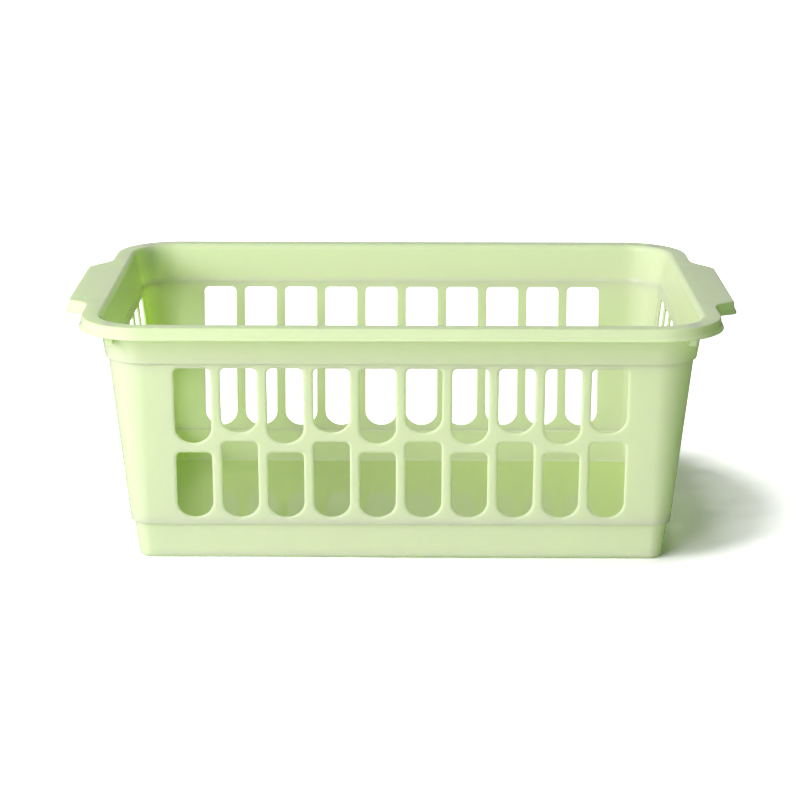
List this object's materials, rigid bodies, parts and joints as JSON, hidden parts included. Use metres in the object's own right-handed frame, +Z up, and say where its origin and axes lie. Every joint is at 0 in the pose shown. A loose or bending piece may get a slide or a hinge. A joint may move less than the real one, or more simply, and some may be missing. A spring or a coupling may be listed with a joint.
{
  "type": "slotted storage basket",
  "caption": "Rectangular moulded plastic storage basket with slotted leaning walls, a flanged rim and a grip tab at each end.",
  "frame": {"origin": "centre of the base, on the plane that the basket stands on", "axes": "+Z up; +X along the long side, towards the right-hand grip tab; -Y is the front, the long side that faces the viewer"},
  "size_m": [0.3, 0.1902, 0.11],
  "materials": {
    "green_plastic": "pastel green polypropylene, softly glossy, slightly translucent"
  },
  "bodies": {
    "root": {"floor_panel": "green_plastic", "foot_band": "green_plastic", "front_wall": "green_plastic", "right_end_wall": "green_plastic", "back_wall": "green_plastic", "left_end_wall": "green_plastic", "front_left_corner": "green_plastic", "front_right_corner": "green_plastic", "back_right_corner": "green_plastic", "back_left_corner": "green_plastic", "front_left_stacking_rib": "green_plastic", "front_right_stacking_rib": "green_plastic", "back_right_stacking_rib": "green_plastic", "back_left_stacking_rib": "green_plastic", "upper_band": "green_plastic", "front_rim": "green_plastic", "back_rim": "green_plastic", "right_handle": "green_plastic", "left_handle": "green_plastic"}
  },
  "joints": []
}
